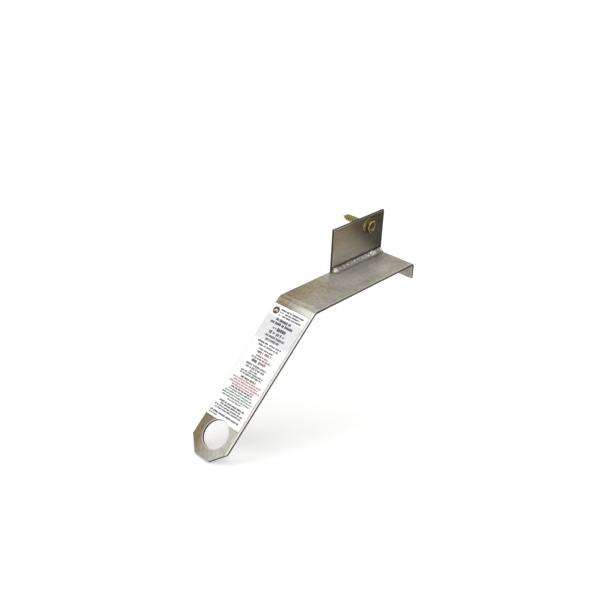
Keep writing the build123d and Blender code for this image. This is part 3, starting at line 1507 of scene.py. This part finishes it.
@dataclass
class Screw:
    """A hex-head screw with a dished top and a coarse wood thread, pointing along -X.

    The head's side has rings at side_heights, in millimetres above its seat. Its top has
    rings at face_insets, millimetres inside the flats, each with its painted light level. Each dish
    ring is how far it lies outside the dish's radius, its depth as a share of the dish's and
    its painted light level. Each thread row is its share of a pitch and whether it is on the crest.
    """

    head_width: float = 12.7 * MM
    head_height: float = 5.4 * MM
    diameter: float = 7.9 * MM
    root_diameter: float = 5.9 * MM
    neck_length: float = 7.0 * MM
    neck_rim: float = 0.3 * MM
    neck_fillet: float = 0.4 * MM
    thread_gap: float = 0.25 * MM
    point_length: float = 7.0 * MM
    tip_crest: float = 0.25 * MM
    tip_root: float = 0.22 * MM
    pitch: float = 2.82 * MM
    runout_share: float = 0.35
    dish_radius: float = 4.2 * MM
    dish_depth: float = 1.3 * MM
    top_inset: float = 0.22 * MM
    top_slope: float = 1.25
    foot_share: float = 0.93
    foot_reach: float = 0.35 * MM
    foot_slope: float = 2.2
    face_insets: tuple[Station, ...] = ((0.36, 1.0), (0.9, 0.85))
    sides: int = 72
    side_heights: tuple[float, ...] = (
        0.0, 0.12, 0.35, 1.2, 2.4, 3.4, 4.1, 4.4, 4.55, 4.7, 4.85, 5.0, 5.12, 5.24, 5.33,
    )
    dish_rings: tuple[tuple[float, float, float], ...] = (
        (0.55, 0.0, 0.85), (0.1, 0.05, 1.0), (-0.15, 0.22, 0.75), (-0.5, 0.62, 0.3),
        (-0.95, 0.9, 0.15), (-1.8, 0.98, 0.12), (-2.94, 1.0, 0.10),
    )
    thread_rows: tuple[tuple[float, bool], ...] = (
        (0.0, True), (0.06, True), (0.30, False), (0.42, False), (0.58, False),
        (0.70, False), (0.94, True),
    )

    def __post_init__(self) -> None:
        """Takes the place from the frame."""
        low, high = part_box("screw")
        self.tip_x, self.top_x = low.x, high.x
        self.seat_x = self.top_x - self.head_height
        self.neck_x = self.seat_x - self.neck_length
        self.crest, self.root = self.diameter / 2, self.root_diameter / 2

    def head_rings(self) -> list[Ring]:
        """Draws the neck and the head, outwards and round to the dish's middle.

        Returns:
            Their rings.
        """
        flat, seat, fillet = self.head_width / 2, self.seat_x, self.neck_fillet
        # Each ring's last number is the light level painted on it: high for a painted highlight, low
        # for painted shade.
        rings = [
            Ring(self.neck_x, self.crest, 0.8),
            Ring(self.neck_x + self.neck_rim, self.crest, 0.5),
            Ring(seat - 1.0 * MM, self.crest, 0.5),
        ]
        for step in range(4):
            turn = math.pi / 6 * step
            radius = self.crest + fillet * (1.0 - math.cos(turn))
            rings.append(Ring(seat - fillet * (1.0 - math.sin(turn)), radius, 0.5))
        rings.append(Ring(seat, flat * self.foot_share, 0.6))
        for up in self.side_heights:
            top_cone = flat - self.top_inset + self.top_slope * (self.head_height - up * MM)
            low_cone = flat + self.foot_reach + self.foot_slope * up * MM
            # Painted light on the head's side: highlight at its foot and top edge, painted shade
            # between.
            edge = ease((up - 4.1) / 1.1) if up > 1.0 else 1.0 - up
            limit, light_level = min(top_cone, low_cone), 0.55 + 0.45 * edge
            rings.append(Ring(seat + up * MM, limit, light_level, self.head_width))
        rings += [Ring(self.top_x, flat - inset * MM, light_level) for inset, light_level in self.face_insets]
        for outside, down, light_level in self.dish_rings:
            x = self.top_x - down * self.dish_depth
            rings.append(Ring(x, self.dish_radius + outside * MM, light_level))
        return rings

    def thread_radius(self, on_crest: bool, x: float) -> float:
        """Works out the thread's radius, which runs out at the neck and at the point.

        Args:
            on_crest: Whether it is the crest or the root.
            x: The place along the screw.

        Returns:
            The radius.
        """
        left = min(1.0, max(0.0, (x - self.tip_x) / self.point_length))
        crest = self.tip_crest + (self.crest - self.tip_crest) * left ** 0.8
        root = self.tip_root + (self.root - self.tip_root) * left
        fade = ease((self.neck_x - x) / self.pitch)
        share = (fade if on_crest else 0.0) + (1.0 - fade) * self.runout_share
        return root + (crest - root) * share

    def build(self) -> bpy.types.Object:
        """Makes the screw as one closed skin.

        Returns:
            The piece.
        """
        body = Turned(Skin("hex_screw"), middle_of("screw"), self.sides)
        rings = body.rings(self.head_rings())
        # The dish's middle is painted shade.
        body.skin.fan(rings[-1], body.tip(self.top_x - self.dish_depth, 0.1))
        self._thread(body, rings[0], self.neck_x - self.thread_gap)
        finish = Plating("yellow_zinc", (0.40, 0.335, 0.115), (0.33, 0.33, 0.13),
                         (0.66, 0.63, 0.40), (0.340, 0.280, 0.115),
                         (0.085, 0.062, 0.020), 0.27)
        piece = body.skin.build(finish.material(), "yellow_zinc", "screw")
        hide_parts("screw")
        return piece

    def _thread(self, body: Turned, neck: list[int], start_x: float) -> None:
        """Adds the thread as rows that climb one pitch in a turn, and the point.

        Args:
            body: The screw.
            neck: The ring that the thread joins.
            start_x: Where the first row starts.
        """
        turns = int((start_x - self.tip_x) / self.pitch) - 1
        rows = []
        for turn in range(turns):
            for phase, on_crest in self.thread_rows:
                row = []
                for k in range(self.sides):
                    share = k / self.sides
                    x = start_x - self.pitch * (turn + phase + share)
                    # Painted highlight on the crests, painted shade in the roots.
                    radius, light_level = self.thread_radius(on_crest, x), 0.9 if on_crest else 0.5
                    row.append(body.point(x, radius, 2.0 * math.pi * share, light_level))
                rows.append(row)
        skin, shift = body.skin, len(self.thread_rows)
        starts, ends = [row[0] for row in rows], [row[-1] for row in rows]
        skin.bands(rows, closed=False)
        skin.band(ends[:-shift], starts[shift:], closed=False)
        skin.band(neck, rows[0], closed=False)
        skin.faces.append((neck[-1], neck[0], *starts[: shift + 1], ends[0]))
        skin.fan(rows[-1] + ends[-2 : -2 - shift : -1], body.tip(self.tip_x, 0.9))


@dataclass
class Washer:
    """A flat punched washer with softly rounded edges."""

    hole_radius: float = 4.35 * MM
    edge: float = 0.32 * MM
    edge_steps: int = 4
    sides: int = 96

    def build(self) -> bpy.types.Object:
        """Makes the washer.

        Returns:
            The piece.
        """
        low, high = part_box("washer")
        outer = ((high.y - low.y) / 2, high.x)
        section = rounded((self.hole_radius, low.x), outer, self.edge, self.edge_steps)
        body = Turned(Skin("flat_washer"), middle_of("washer"), self.sides)
        rings = body.rings(Ring(x, radius, 0.80) for radius, x in section)
        body.skin.band(rings[-1], rings[0])
        # Painted highlight on the washer's lower left.
        finish = Plating("washer_steel", (0.27, 0.245, 0.20), (0.22, 0.19, 0.14),
                         (0.66, 0.60, 0.50), (0.10, 0.085, 0.06),
                         (0.10, 0.085, 0.06), 0.34, lower_left_highlight=0.85)
        piece = body.skin.build(finish.material(), "washer_steel", "washer")
        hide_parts("washer")
        return piece


# ---------------------------------------------------------------- label


@dataclass(frozen=True)
class Lines:
    """Rows of plain blocks that stand for printed words. Sizes are in millimetres.

    The first row's middle is at first below the fold, and each span is a row's start
    and end from the bar's left edge.
    """

    first: float
    pitch: float
    height: float
    ink: Ink
    spans: tuple[Station, ...]
    bold: bool = False

    @property
    def stroke(self) -> float:
        """Usual width of a letter."""
        return (0.58 if self.bold else 0.50) * self.height

    @property
    def gap(self) -> float:
        """Gap between two letters."""
        return (0.08 if self.bold else 0.13) * self.height


@dataclass
class Label:
    """The printed vinyl on the leg: greeked rows of words and a plain round mark.

    A letter reaches x_height up and down from the row's middle, or ascender and
    descender. These, its rounding and the gap after a word are shares of its size.
    """

    strap: Strap
    thickness: float = 0.15 * MM
    ink_thickness: float = 0.02 * MM
    corner_radius: float = 0.6 * MM
    corner_steps: int = 4
    left_margin: float = 0.8 * MM
    width: float = 47.2 * MM
    length: float = 133.3 * MM
    top_gap: float = 9.2 * MM
    eye_clearance: float = 0.4 * MM
    panel: Station = (21.8, 49.6)
    mark: Station = (6.9, 16.0)
    mark_radius: float = 4.2
    gable: tuple[Station, ...] = (
        (-2.5, 0.9), (0.0, -1.6), (2.5, 0.9), (2.5, 2.1), (0.0, -0.4), (-2.5, 2.1),
    )
    x_height: float = 0.46
    ascender: float = 0.60
    ascender_chance: float = 0.35
    descender: float = 0.58
    descender_chance: float = 0.12
    word_gap: float = 0.34
    letter_rounding: float = 0.18
    seed: int = 5

    def __post_init__(self) -> None:
        """Works out where the label's left edge is."""
        self.left = -self.strap.half_width

    def slab(self, skin: Skin, outline: list[Station], foot: float, rise: float) -> None:
        """Adds a thin flat block.

        Args:
            skin: Where it goes.
            outline: Its outline, across and down the leg.
            foot: Height of its foot above the leg's face.
            rise: Its own height.
        """
        lower, upper = (
            skin.loop(
                (self.strap.line.lay(x, self.strap.leg_length - s, -up), Vector((x, s, up)))
                for x, s in outline
            )
            for up in (foot, foot + rise)
        )
        skin.band(lower, upper)
        skin.faces += [tuple(upper), tuple(reversed(lower))]

    def build(self) -> list[bpy.types.Object]:
        """Makes the vinyl, the words and the mark.

        Returns:
            The pieces.
        """
        pieces = [self._vinyl()]
        dice = random.Random(self.seed)
        by_ink: dict[Ink, Skin] = {}
        for lines in self.layout():
            skin = by_ink.setdefault(lines.ink, Skin(f"label_print_{lines.ink.name.lower()}"))
            for i, span in enumerate(lines.spans):
                self._words(skin, lines, lines.first + i * lines.pitch, span, dice)
        for ink, skin in by_ink.items():
            pieces.append(skin.build(ink.material(), "vinyl", "bracket"))
        return pieces + self._round_mark()

    def _vinyl(self) -> bpy.types.Object:
        """Makes the vinyl, trimmed round the eye.

        Returns:
            The piece.
        """
        low = (self.left + self.left_margin, self.top_gap)
        high = (low[0] + self.width, low[1] + self.length)
        outline = rounded(low, high, self.corner_radius, self.corner_steps)
        radius = self.strap.eye_radius + self.eye_clearance
        eye_down = self.strap.leg_length - self.strap.eye_edge
        reach = math.asin(math.sqrt(radius ** 2 - (eye_down - high[1]) ** 2) / radius)
        foot = 2 * (self.corner_steps + 1)
        outline[foot:foot] = [
            (radius * math.sin(turn), eye_down - radius * math.cos(turn))
            for turn in spread(reach, -reach, math.radians(3.0))
        ]
        skin = Skin("label_vinyl")
        self.slab(skin, outline, 0.0, self.thickness)
        piece = skin.build(Vinyl("vinyl", self.panel).material(), "vinyl", "bracket")
        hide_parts("label")
        return piece

    def _words(
        self, skin: Skin, lines: Lines, down: float, span: Station, dice: random.Random
    ) -> None:
        """Fills one row with words of plain rounded blocks.

        Args:
            skin: The ink's skin.
            lines: The rows' height and weight.
            down: The row's middle, below the fold.
            span: The row's start and end.
            dice: Chooses the letters' shapes and the words' lengths.
        """
        tall = lines.height
        at, letters = span[0], dice.randint(2, 7)
        while at + lines.stroke <= span[1] + 0.01:
            rises = dice.random() < self.ascender_chance
            drops = dice.random() < self.descender_chance
            high = tall * (self.ascender if rises else self.x_height)
            low = tall * (self.descender if drops else self.x_height)
            width = lines.stroke * dice.uniform(0.75, 1.15)
            x = at * MM + self.left
            ends = (x, (down - high) * MM), (x + width * MM, (down + low) * MM)
            outline = rounded(*ends, self.letter_rounding * width * MM, 1)
            self.slab(skin, outline, self.thickness, self.ink_thickness)
            letters -= 1
            at += width + lines.gap
            if letters == 0:
                at += self.word_gap * tall
                letters = dice.randint(2, 8)

    def _round_mark(self) -> list[bpy.types.Object]:
        """Makes the plain round mark: a disc with a simple gable on it.

        Returns:
            The two pieces.
        """
        turns = spread(0.0, 2.0 * math.pi, math.radians(9.0))[:-1]
        radius = self.mark_radius
        circle = [(radius * math.cos(turn), radius * math.sin(turn)) for turn in turns]
        pieces = []
        foot = self.thickness
        for name, ink, shape in (
            ("label_mark", Ink.MAROON, circle), ("label_mark_gable", Ink.WHITE, self.gable)
        ):
            skin = Skin(name)
            outline = [
                ((self.mark[0] + x) * MM + self.left, (self.mark[1] + s) * MM) for x, s in shape
            ]
            self.slab(skin, outline, foot, self.ink_thickness)
            pieces.append(skin.build(ink.material(), "vinyl", "bracket"))
            foot += self.ink_thickness
        return pieces

    @staticmethod
    def layout() -> list[Lines]:
        """Sets the rows of print, from the fold down the leg.

        Returns:
            The rows.
        """
        black, grey, red, green, teal = Ink.BLACK, Ink.GREY, Ink.RED, Ink.GREEN, Ink.TEAL
        return [
            Lines(13.3, 3.0, 1.9, black, ((12.3, 44.0),), bold=True),
            Lines(16.3, 3.0, 1.7, teal, ((12.3, 18.5),)),
            Lines(16.3, 3.0, 1.8, black, ((20.0, 40.5), (17.5, 43.5)), bold=True),
            Lines(19.3, 3.0, 1.7, red, ((12.5, 16.3),)),
            Lines(24.2, 4.2, 2.9, black, ((13.0, 34.3), (8.2, 38.3)), bold=True),
            Lines(33.8, 5.0, 3.5, black, ((21.0, 34.2), (13.5, 17.5)), bold=True),
            Lines(33.8, 5.0, 2.2, grey, ((15.0, 19.5), (18.5, 21.3))),
            Lines(38.8, 5.0, 3.2, grey, ((23.5, 31.0),)),
            Lines(38.8, 5.0, 2.0, grey, ((32.0, 35.2),)),
            Lines(43.3, 4.0, 2.4, grey, ((11.5, 37.5), (14.5, 34.0))),
            Lines(52.1, 3.3, 2.1, black, ((7.3, 22.0),), bold=True),
            Lines(52.1, 3.3, 2.0, grey, ((23.5, 41.0), (10.5, 38.5))),
            Lines(59.4, 3.4, 1.9, grey, ((14.0, 34.5),)),
            Lines(62.8, 3.4, 2.7, grey, ((14.5, 23.6),)),
            Lines(62.8, 3.4, 2.7, red, ((24.4, 34.5),)),
            Lines(66.9, 2.8, 1.8, grey, ((15.5, 33.5), (11.0, 37.5))),
            Lines(73.1, 3.0, 3.1, black, ((14.0, 22.3),), bold=True),
            Lines(73.1, 3.0, 3.1, red, ((23.5, 34.5),)),
            Lines(77.9, 3.1, 2.2, grey, ((9.5, 39.0), (11.5, 37.5))),
            Lines(84.0, 2.6, 1.7, black, ((19.0, 30.0),), bold=True),
            Lines(86.6, 2.6, 1.9, grey, ((8.5, 40.0), (9.0, 40.0))),
            Lines(93.2, 2.6, 2.1, black, ((13.5, 35.0),), bold=True),
            Lines(96.1, 2.63, 1.6, red, ((4.5, 44.5), (7.0, 42.5), (3.0, 45.5), (8.5, 40.0))),
            Lines(106.6, 2.7, 1.9, black, ((9.5, 39.5),), bold=True),
            Lines(109.3, 2.68, 1.6, green,
                  ((8.0, 41.0), (5.0, 43.5), (2.5, 46.0), (4.5, 44.5), (14.5, 34.0))),
            Lines(124.2, 2.7, 1.8, black, ((6.5, 42.5), (9.5, 38.5)), bold=True),
            Lines(129.7, 2.6, 1.8, grey, ((3.5, 44.5), (5.5, 42.5))),
            Lines(136.8, 2.8, 1.9, grey, ((2.5, 44.0),), bold=True),
            Lines(139.6, 2.8, 1.6, grey, ((2.5, 14.0),)),
        ]


# ---------------------------------------------------------------- studio


def stage_piece(
    name: str, corners: Sequence[Sequence[float]], material: bpy.types.Material
) -> bpy.types.Object:
    """Makes a flat piece of the studio.

    Args:
        name: Its name.
        corners: Its four corners.
        material: Its finish.

    Returns:
        The piece.
    """
    mesh = bpy.data.meshes.new(name)
    mesh.from_pydata(corners, [], [(0, 1, 2, 3)])
    mesh.materials.append(material)
    piece = bpy.data.objects.new(name, mesh)
    bpy.context.scene.collection.objects.link(piece)
    piece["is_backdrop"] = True
    return piece


@dataclass(frozen=True)
class Card:
    """A card that only shows in reflections, as a wall of timber nearby would."""

    name: str
    colour: Colour
    corners: tuple[tuple[float, float, float], ...]

    def build(self) -> None:
        """Makes the card."""
        graph = Graph(self.name)
        values = {"Color": (*self.colour, 1.0), "Strength": 1.0}
        glow = graph.close(graph.node("ShaderNodeEmission", None, values))
        card = stage_piece(self.name, self.corners, glow)
        card.visible_camera = False
        card.visible_diffuse = False
        card.visible_shadow = False
        card.visible_transmission = False


@dataclass
class Studio:
    """Floor, light and camera."""

    azimuth: float = 41.781
    elevation: float = 28.673
    roll: float = -2.594
    distance: float = 924.246 * MM
    lens: float = 54.186
    aim_right: float = 3.135 * MM
    aim_up: float = 8.469 * MM
    floor_reach: float = 9.0
    floor_glow: float = 0.14
    world_strength: float = 1.0
    key_towards: tuple[float, float, float] = (-0.62, -0.50, 0.72)
    key_distance: float = 1.5
    key_size: float = 0.75
    key_power: float = 4.0
    card_gap: float = 0.5 * MM

    def __post_init__(self) -> None:
        """Takes the bar's edges and the front fold from the frame."""
        low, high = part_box("strap")
        self.front_fold, self.bar_back = -high.y, high.y
        self.bar_left, self.bar_right = low.x, high.x

    def build(self) -> None:
        """Sets up the floor, the light, the cards and the camera."""
        self._floor()
        self._world()
        self._key()
        self._cards()
        self._camera()
        bpy.context.scene.view_settings.view_transform = "Standard"

    def _floor(self) -> None:
        """Lays a wide pale floor under the object's lowest point."""
        paint = Graph("floor_paint")
        tone = paint.noise(paint.node("ShaderNodeTexCoord", None, None, "Object"), 2.0)
        material = paint.surface({
            "Base Color": paint.mix(tone * 0.3, (0.93, 0.93, 0.93), (0.90, 0.90, 0.895)),
            "Roughness": 0.8,
            "Specular IOR Level": 0.2,
            "Emission Color": (1.0, 1.0, 1.0, 1.0),
            "Emission Strength": self.floor_glow,
        })
        reach, z = self.floor_reach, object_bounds()[0].z
        corners = ((-reach, -reach, z), (reach, -reach, z), (reach, reach, z), (-reach, reach, z))
        stage_piece("floor", corners, material)

    def _world(self) -> None:
        """Fills the room with even white light."""
        world = bpy.data.worlds.new("room")
        bpy.context.scene.world = world
        world.use_nodes = True
        background = world.node_tree.nodes["Background"]
        background.inputs["Color"].default_value = (1.0, 1.0, 1.0, 1.0)
        background.inputs["Strength"].default_value = self.world_strength

    def _key(self) -> None:
        """Hangs a large soft light in front, to the left and above."""
        data = bpy.data.lights.new("key", "AREA")
        data.size = self.key_size
        data.energy = self.key_power
        lamp = bpy.data.objects.new("key", data)
        towards = Vector(self.key_towards)
        lamp.location = towards.normalized() * self.key_distance + Vector((0.0, self.front_fold, 0.0))
        lamp.rotation_mode = "QUATERNION"
        lamp.rotation_quaternion = towards.to_track_quat("Z", "Y")
        bpy.context.scene.collection.objects.link(lamp)

    def _cards(self) -> None:
        """Stands cards where the timber would be, so that the steel has it to reflect, and a dark
        card behind it as a painted reflection of shade.
        """
        left, right = self.bar_left - self.card_gap, self.bar_right + self.card_gap
        front, back = self.front_fold, self.bar_back
        Card("card_left", (0.62, 0.57, 0.49), (
            (left, front - 0.30, -0.20), (left, front + 0.05, -0.05),
            (left, front + 0.22, 0.30), (left, front - 0.03, 0.30),
        )).build()
        Card("card_joist", (0.80, 0.76, 0.66), (
            (left, front + 0.03, 0.0), (left, back + 0.45, 0.0),
            (left, back + 0.45, 0.13), (left, front + 0.03, 0.13),
        )).build()
        Card("card_right", (0.50, 0.42, 0.29), (
            (right, front, 0.0), (right + 0.5, front, 0.0),
            (right + 0.5, back, 0.0), (right, back, 0.0),
        )).build()
        # card_back is a dark card, a painted reflection of the shade beyond the wall plate.
        near, far = back + 2.0 * MM, back + 0.6
        Card("card_back", (0.05, 0.042, 0.03), (
            (self.bar_left - 0.3, near, -0.02), (right + 0.6, near, -0.02),
            (right + 0.6, far, -0.02), (self.bar_left - 0.3, far, -0.02),
        )).build()

    def _camera(self) -> None:
        """Places the camera."""
        azimuth, elevation, roll = (
            math.radians(angle) for angle in (self.azimuth, self.elevation, self.roll)
        )
        level = Vector((math.cos(azimuth), math.sin(azimuth), 0.0))
        back = Vector((
            math.sin(azimuth) * math.cos(elevation),
            -math.cos(azimuth) * math.cos(elevation),
            math.sin(elevation),
        ))
        upright = back.cross(level)
        right = level * math.cos(roll) - upright * math.sin(roll)
        up = level * math.sin(roll) + upright * math.cos(roll)
        aim = Vector((self.aim_right, self.front_fold, self.aim_up))
        turn = Matrix((right, up, back)).transposed()
        data = bpy.data.cameras.new("camera")
        data.lens = self.lens
        data.sensor_width = 36.0
        data.clip_start, data.clip_end = 0.01, 60.0
        camera = bpy.data.objects.new("camera", data)
        camera.matrix_world = Matrix.Translation(aim + back * self.distance) @ turn.to_4x4()
        bpy.context.scene.collection.objects.link(camera)
        bpy.context.scene.camera = camera


def main() -> None:
    """Builds the studio and every piece."""
    logging.basicConfig(level=logging.INFO, format="%(name)s: %(message)s")
    cad_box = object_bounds()
    Studio().build()
    strap = Strap()
    strap.build()
    UprightPlate().build()
    weld = WeldBead()
    weld.build()
    weld.build_spatter()
    Label(strap).build()
    Washer().build()
    Screw().build()
    bpy.context.view_layer.update()
    boxes = {"cad": cad_box, "visual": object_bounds()}
    {name: [list(low), list(high)] for name, (low, high) in boxes.items()}


if __name__ == "__main__":
    main()
